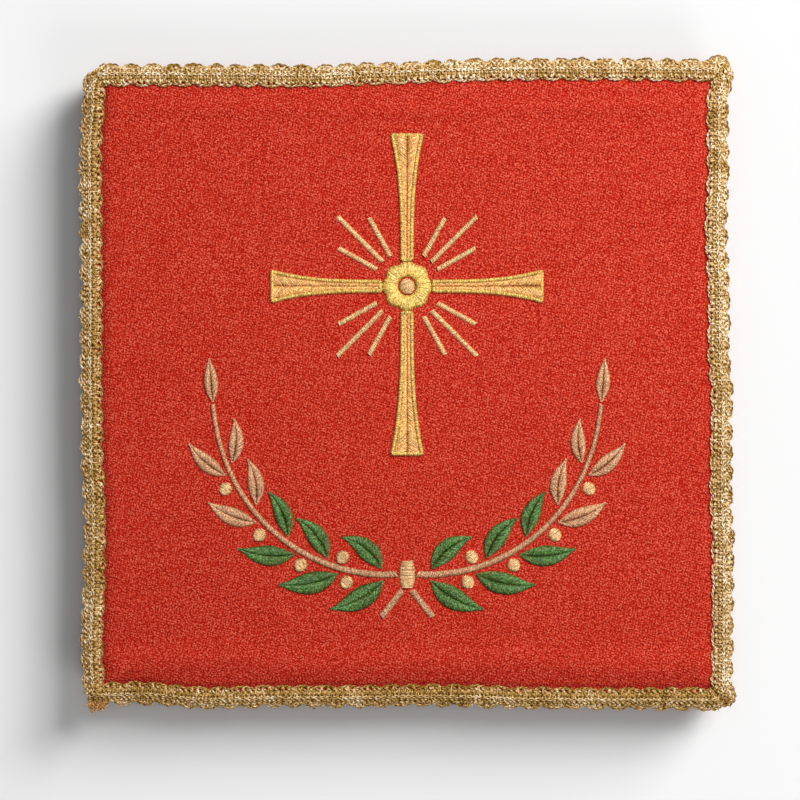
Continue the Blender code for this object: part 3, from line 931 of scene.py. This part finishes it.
def chain_threads():
    """The chain stitch that runs down the middle."""
    distance = np.arange(BRAID_START, BRAID_END, CHAIN_PITCH / 8)
    threads = []
    for hand in (-1, 1):
        outward = CHAIN_LINE + hand * CHAIN_HALF_WIDTH * np.abs(np.sin(np.pi * distance / CHAIN_PITCH))
        height = (1.06 + 0.08 * np.cos(2 * np.pi * distance / CHAIN_PITCH)) * MM
        shade = (1.35 - 0.2 * upper_right(distance)) * shades(distance, 50 + hand, slow=0.12)
        threads.append((on_braid(distance, outward, height)[None], shade))
    return threads


def knot_threads():
    """Rows of short raised stitches, each with its own shade and slant."""
    share = np.linspace(-0.5, 0.5, 5)
    threads = []
    for number, row in enumerate(KNOT_ROWS):
        random = np.random.default_rng(60 + number)
        middle = np.arange(BRAID_START + 0.4 * MM, BRAID_END - 0.4 * MM, row.pitch)[:, None]
        middle = middle + random.uniform(-0.15, 0.15, middle.shape) * row.pitch
        lean = row.lean + random.uniform(-0.35, 0.35, middle.shape)
        distance = middle + share * row.length
        outward = row.outward + lean * share * row.length
        outward = outward + random.uniform(-0.1, 0.1, middle.shape) * MM
        height = (0.86 + 0.22 * np.cos(np.pi * share)) * MM - 0.035 * row.outward**2 / MM
        path = on_braid(distance, outward, height + np.zeros_like(distance))
        shade = row.gain * random.uniform(0.74, 1.3, middle.shape)
        shade = shade * shades(distance, 65 + number, slow=0.1) * painted_edge_shade(distance, outward)
        threads.append((path, shade))
    return threads


def fuzz_threads():
    """Fine loose fibres that stand out of the scalloped edge."""
    random = np.random.default_rng(80)
    root = outer_places(FUZZ_PITCH)[0][:, None]
    root = root + random.uniform(-0.5, 0.5, root.shape) * FUZZ_PITCH
    share = np.linspace(0, 1, 4)
    length = random.uniform(0.4, 1.0, root.shape) * MM
    slant = random.uniform(-1.2, 1.2, root.shape) + random.uniform(-0.8, 0.8, root.shape) * share
    distance = root + length * np.sin(slant) * share
    start = braid_reach(root, False) - random.uniform(0.3, 1.3, root.shape) * MM
    outward = start + length * np.cos(slant) * share
    height = random.uniform(0.35, 1.0, root.shape) * MM
    height = height + random.uniform(-0.4, 0.3, root.shape) * MM * share
    shade = random.uniform(0.35, 1.4, root.shape) * painted_edge_shade(distance, outward)
    return [(on_braid(distance, outward, height), shade)]


def build_fray(material):
    """The tuft of core threads at the cut end of the braid."""
    random = np.random.default_rng(90)
    root = FRAY_ROOT + random.uniform(-1, 1, (FRAY_COUNT, 2)) * FRAY_SPREAD
    turn = np.radians(random.uniform(-170, -10, FRAY_COUNT))
    length = random.uniform(0.6, 1.7, FRAY_COUNT) * MM
    share = np.linspace(0, 1, 6)
    bend = turn[:, None] + random.uniform(-0.9, 0.9, (FRAY_COUNT, 1)) * share
    reach = length[:, None] * share
    flat = root[:, None, :] + np.stack([np.cos(bend) * reach, np.sin(bend) * reach], axis=-1)
    height = BOARD_THICKNESS + (0.8 + random.uniform(0, 0.4, (FRAY_COUNT, 1)) - 0.7 * share**2) * MM
    paths = np.concatenate([flat, height[..., None]], axis=-1)
    shade = random.uniform(0.4, 1.35, (FRAY_COUNT, 1)) * (0.65 + 0.95 * share)
    return braid_piece("braid_fray", material, FRAY_THREAD, [(paths, shade)])


def build_braid():
    gold = lurex_material("lurex_gold", gain=1.0, metallic=0.35, roughness=0.52)
    # The ground's gold is darker, as painted shade between the threads
    shade = lurex_material("lurex_ground_painted_shade", gain=0.64, metallic=0.1, roughness=0.7)
    cord = lurex_material("lurex_cord", gain=0.95, metallic=0.3, roughness=0.52)
    core = rayon_material("braid_core", (0.54, 0.24, 0.05), light_gain=1.8)
    return [
        build_ground(shade),
        braid_piece("braid_weft", gold, WEFT_THREAD, weft_threads()),
        braid_piece("braid_inner_cord", cord, CORD_THREAD, inner_cord()),
        braid_piece("braid_picots", gold, PICOT_THREAD, picot_loops()),
        braid_piece("braid_chain", gold, CHAIN_THREAD, chain_threads()),
        braid_piece("braid_knots", gold, KNOT_THREAD, knot_threads()),
        braid_piece("braid_fuzz", gold, FUZZ_THREAD, fuzz_threads()),
        build_fray(core),
    ]


# The cover
CELLS = 220
# How much closer the cover's cells lie at the edges than on average
EDGE_CROWDING = 0.35
# The cloth dips beside the braid, broadly and in a narrow groove
Sink = namedtuple("Sink", "depth, reach")
SINKS = (Sink(0.22 * MM, 1.9 * MM), Sink(0.32 * MM, 0.5 * MM))
# Painted shade: a dark line on the cloth beside the braid, on the left and bottom sides
PAINTED_SHADE_BESIDE_BRAID = 0.46
PAINTED_SHADE_BESIDE_BRAID_REACH = 0.42 * MM
SLACK = 0.07 * MM
FINE_SLACK = 0.025 * MM
SEAM_DIP = 0.12 * MM
PULL_REACH = 1.6 * MM
PULL_DEPTH = 0.10 * MM
PUCKER = 0.09 * MM
NOISE_SPAN = 0.2


def stitched_distance(x, y):
    """How far each point of the cloth lies from the nearest stitches."""
    share = np.linspace(0, 1, 40)
    lines = []
    for arm in ARMS:
        lines.append(arm_line(arm, share))
    for side in (1, -1):
        points, _ = branch_point(share, side)
        lines.append((points, np.full(40, STEM_HALF_WIDTH)))
        for leaf in LEAVES:
            lines.append(leaf_line(leaf, side, share))
    lines.append((CROSS_CENTRE[None, :], np.array([ROSETTE_RADIUS])))
    spots = np.concatenate([points for points, _ in lines])
    widths = np.concatenate([half_widths for _, half_widths in lines])
    nearest = np.full(x.shape, 1.0)
    for start in range(0, len(x), 4000):
        part = slice(start, start + 4000)
        gap = np.hypot(x[part, None] - spots[:, 0], y[part, None] - spots[:, 1]) - widths
        nearest[part] = gap.min(axis=1)
    return nearest


def soft_noise(x, y, period, seed):
    """A smooth random height over the cloth, from -1 to 1."""
    size = int(NOISE_SPAN / period) + 4
    grid = np.random.default_rng(seed).uniform(-1, 1, (size, size))
    place_x = (x + NOISE_SPAN / 2) / period
    place_y = (y + NOISE_SPAN / 2) / period
    column = np.floor(place_x).astype(int)
    row = np.floor(place_y).astype(int)
    share_x = smooth_step(place_x - column)
    share_y = smooth_step(place_y - row)
    low = grid[column, row] * (1 - share_x) + grid[column + 1, row] * share_x
    high = grid[column, row + 1] * (1 - share_x) + grid[column + 1, row + 1] * share_x
    return low * (1 - share_y) + high * share_y


def beside_braid(flat_x, flat_y, reach):
    """One at the braid's inner edge on the left and bottom sides, fading out over the open cloth."""
    inside = np.minimum(flat_x, flat_y) + HALF_BOARD - BRAID_HALF_WIDTH
    under_braid = np.exp(-((np.minimum(inside, 0) / (0.8 * MM)) ** 2))
    return np.exp(-np.maximum(inside, 0) / reach) * under_braid


def cloth_relief(x, y, flat_x, flat_y):
    """The face's low relief: slack, the turned edge under the cloth, and the pull of the stitches."""
    relief = SLACK * soft_noise(x, y, 19 * MM, 3) + FINE_SLACK * soft_noise(x, y, 4 * MM, 4)
    for sink in SINKS:
        relief -= sink.depth * beside_braid(flat_x, flat_y, sink.reach)
    edge = HALF_BOARD - np.maximum(np.abs(flat_x), np.abs(flat_y))
    for hem in HEMS:
        waver = 0.8 * MM * soft_noise(x, y, 26 * MM, 9)
        share = np.exp(-(((y - hem.place - waver) / hem.half_width) ** 2))
        relief += hem.height * share * np.clip(edge / (6 * MM), 0, 1)
    relief -= SEAM_DIP * np.exp(-(((edge - 3.2 * MM) / (1.2 * MM)) ** 2))
    pull = np.exp(-np.maximum(stitched_distance(x, y), 0) / PULL_REACH)
    relief += pull * (PUCKER * soft_noise(x, y, 1.7 * MM, 6) - PULL_DEPTH)
    return relief


def build_cover():
    """The closed cloth cover: its face, its rounded edges and its flat back."""
    inset = BOARD_EDGE_ROUND
    even = np.linspace(-1, 1, CELLS + 1)
    ticks = even + EDGE_CROWDING / np.pi * np.sin(np.pi * even)
    grid_x, grid_y = np.meshgrid(ticks, ticks, indexing="ij")
    flat_half = HALF_BOARD - inset
    flat_x = grid_x.ravel() * flat_half
    flat_y = grid_y.ravel() * flat_half
    x, y = strayed(flat_x, flat_y)
    z = BOARD_THICKNESS + cloth_relief(x, y, flat_x, flat_y)
    top = np.stack([x, y, z], axis=-1)
    index = np.arange((CELLS + 1) ** 2).reshape(CELLS + 1, CELLS + 1)
    quads = np.stack([index[:-1, :-1], index[1:, :-1], index[1:, 1:], index[:-1, 1:]], axis=-1)

    rim = np.concatenate([index[:-1, 0], index[-1, :-1], index[:0:-1, -1], index[0, :0:-1]])
    rim_square = np.stack([grid_x.ravel()[rim], grid_y.ravel()[rim]], axis=-1) * flat_half
    outward = unit(np.where(np.abs(rim_square) > 0.9999 * flat_half, np.sign(rim_square), 0))
    rows = [rim]
    rings = [top]
    start = len(top)
    profile = [(angle, 1) for angle in (30, 60, 90)] + [(angle, 0) for angle in (90, 60, 30, 0)]
    for angle, upper in profile:
        reach = inset * math.sin(math.radians(angle))
        drop = inset * (1 - math.cos(math.radians(angle)))
        square = rim_square + outward * reach
        ring_x, ring_y = strayed(square[:, 0], square[:, 1])
        ring_z = np.full(len(rim), BOARD_THICKNESS - drop if upper else drop)
        rings.append(np.stack([ring_x, ring_y, ring_z], axis=-1))
        rows.append(np.arange(start, start + len(rim)))
        start += len(rim)
    walls = [
        np.stack([high, low, np.roll(low, -1), np.roll(high, -1)], axis=-1)
        for high, low in zip(rows, rows[1:])
    ]
    floor_face = rows[-1][None, ::-1]
    tone = np.ones(start)
    # Painted shade on the cloth beside the braid on the left and bottom sides
    tone[:len(top)] -= PAINTED_SHADE_BESIDE_BRAID * beside_braid(flat_x, flat_y, PAINTED_SHADE_BESIDE_BRAID_REACH)
    faces = [quads.reshape(-1, 4), *walls, floor_face]
    cover = add_mesh("crepe_cover", np.concatenate(rings), faces, crepe_material(), tone)
    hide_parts("cloth_panel")
    return cover


# The studio
FLOOR_HALF_SIDE = 2
WORLD_STRENGTH = 0.25
KEY_PLACE = (0.27, 0.28, 0.57)
KEY_SIZE = 0.4
KEY_POWER = 6.0
LENS = 85
SENSOR_WIDTH = 36
PIXEL = 0.2446 * MM
PICTURE_WIDTH = 800 * PIXEL
CAMERA_X = -7 * PIXEL
CAMERA_Y = -15.7 * PIXEL
FACE_HEIGHT = 4 * MM
# The floor's soft shadow comes from lights of its own
FLOOR_LIGHT_DISTANCE = 4.2
FLOOR_LIGHT_WIDTH = 2.4
FloorLight = namedtuple("FloorLight", "name, turn, elevation, height, power")
FLOOR_LIGHTS = (
    FloorLight("low", 40, 8.5, 0.8, 450),
    FloorLight("middle", 40, 19, 1.04, 185),
    FloorLight("fill", -50, 12.5, 0.66, 83),
)


def add_light(name, place, width, height, power):
    """A rectangular soft light that faces the middle of the pall."""
    light_data = bpy.data.lights.new(name, "AREA")
    light_data.shape = "RECTANGLE"
    light_data.size = width
    light_data.size_y = height
    light_data.energy = power
    light = bpy.data.objects.new(name, light_data)
    light.location = place
    light.rotation_euler = (-light.location).to_track_quat("-Z", "Y").to_euler()
    bpy.context.scene.collection.objects.link(light)
    return light


def build_studio():
    floor_mesh = bpy.data.meshes.new("studio_floor")
    half = FLOOR_HALF_SIDE
    corners = [(-half, -half, 0), (half, -half, 0), (half, half, 0), (-half, half, 0)]
    floor_mesh.from_pydata(corners, [], [(0, 1, 2, 3)])
    floor = bpy.data.objects.new("studio_floor", floor_mesh)
    bpy.context.scene.collection.objects.link(floor)
    material, _, shader = new_material("pale_floor")
    shader.inputs["Base Color"].default_value = (0.9, 0.9, 0.9, 1)
    shader.inputs["Roughness"].default_value = 0.9
    floor_mesh.materials.append(material)

    world = bpy.data.worlds.new("studio")
    bpy.context.scene.world = world
    world.use_nodes = True
    background = world.node_tree.nodes["Background"]
    background.inputs["Color"].default_value = (1, 1, 1, 1)
    background.inputs["Strength"].default_value = WORLD_STRENGTH

    key = add_light("key", KEY_PLACE, KEY_SIZE, KEY_SIZE, KEY_POWER)
    floor_only = bpy.data.collections.new("floor_only")
    floor_only.objects.link(floor)
    for light in FLOOR_LIGHTS:
        turn = math.radians(light.turn)
        lift = math.radians(light.elevation)
        ahead = FLOOR_LIGHT_DISTANCE * math.cos(lift)
        up = FLOOR_LIGHT_DISTANCE * math.sin(lift)
        place = (ahead * math.cos(turn), ahead * math.sin(turn), up)
        lamp = add_light(light.name, place, FLOOR_LIGHT_WIDTH, light.height, light.power)
        lamp.light_linking.receiver_collection = floor_only
    all_but_floor = bpy.data.collections.new("all_but_floor")
    all_but_floor.objects.link(floor)
    all_but_floor.collection_objects[0].light_linking.link_state = "EXCLUDE"
    key.light_linking.receiver_collection = all_but_floor

    camera_data = bpy.data.cameras.new("camera")
    camera_data.lens = LENS
    camera_data.sensor_width = SENSOR_WIDTH
    camera = bpy.data.objects.new("camera", camera_data)
    camera.location = (CAMERA_X, CAMERA_Y, PICTURE_WIDTH * LENS / SENSOR_WIDTH + FACE_HEIGHT)
    bpy.context.scene.collection.objects.link(camera)
    bpy.context.scene.camera = camera
    bpy.context.scene.view_settings.view_transform = "Standard"
    bpy.context.scene.view_settings.look = "None"


build_studio()
cover = build_cover()
trim = build_braid() + build_embroidery()
